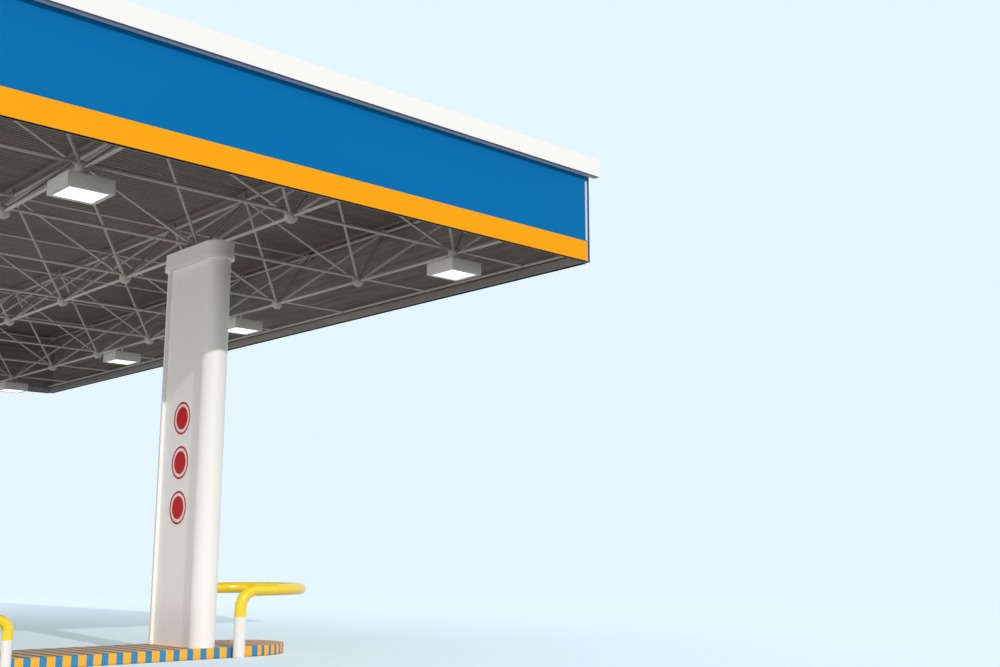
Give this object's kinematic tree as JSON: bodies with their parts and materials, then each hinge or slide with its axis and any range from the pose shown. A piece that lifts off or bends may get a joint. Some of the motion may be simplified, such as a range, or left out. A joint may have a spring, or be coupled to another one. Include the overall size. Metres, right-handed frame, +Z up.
{
  "type": "filling station canopy",
  "caption": "Filling station canopy: flat roof on a bolted-ball space frame with blue and orange fascia, white coping, oblong columns, striped islands with yellow guard hoops, square downlights",
  "frame": {"origin": "centre of the plan on the paving that the islands stand on", "axes": "+X right along the front fascia, -Y towards the front, +Z up"},
  "size_m": [27.49, 20.49, 7.7317],
  "materials": {
    "frame_paint": "satin",
    "roof_sheet": "matte",
    "purlin_paint": "matte",
    "flashing": "satin",
    "fascia_blue": "satin",
    "fascia_orange": "satin",
    "trim_navy": "satin",
    "bead_blue": "satin",
    "backing_grey": "matte",
    "corner_metal": "satin",
    "coping_white": "satin",
    "column_white": "satin",
    "inner_steel": "matte",
    "island_paint": "satin",
    "guard_yellow": "gloss",
    "guard_white": "gloss",
    "saddle_grey": "satin",
    "lamp_white": "satin",
    "lamp_lens": "satin"
  },
  "bodies": {
    "root": {"bottom_balls": "frame_paint", "top_balls": "frame_paint", "bottom_chords_along": "frame_paint", "bottom_chords_across": "frame_paint", "top_chords_along": "frame_paint", "top_chords_across": "frame_paint", "webs_front_right": "frame_paint", "webs_front_left": "frame_paint", "webs_back_right": "frame_paint", "webs_back_left": "frame_paint", "edge_struts": "frame_paint", "edge_rails": "frame_paint", "fascia_cleats": "frame_paint", "purlin_stubs": "purlin_paint", "purlins": "purlin_paint", "roof_sheet_right": "roof_sheet", "roof_sheet_left": "roof_sheet", "ridge_cap": "flashing", "verge_trims": "flashing", "fascia_panels": "fascia_blue", "fascia_bands": "fascia_orange", "fascia_trims": "trim_navy", "fascia_backing": "backing_grey", "corner_posts": "corner_metal", "corner_beads": "bead_blue", "coping": "coping_white", "column_posts": "inner_steel", "column_base_plates": "inner_steel", "head_beams": "inner_steel", "bearing_pads": "inner_steel", "column_ribs": "inner_steel", "column_end_covers": "column_white", "column_panels": "column_white", "column_caps": "column_white", "islands": "island_paint", "outer_guards": "guard_yellow", "outer_guard_feet": "guard_white", "inner_guards": "guard_yellow", "inner_guard_feet": "guard_white", "guard_saddles": "saddle_grey", "lamp_bodies": "lamp_white", "lamp_lenses": "lamp_lens", "lamp_stems": "lamp_white"}
  },
  "joints": []
}
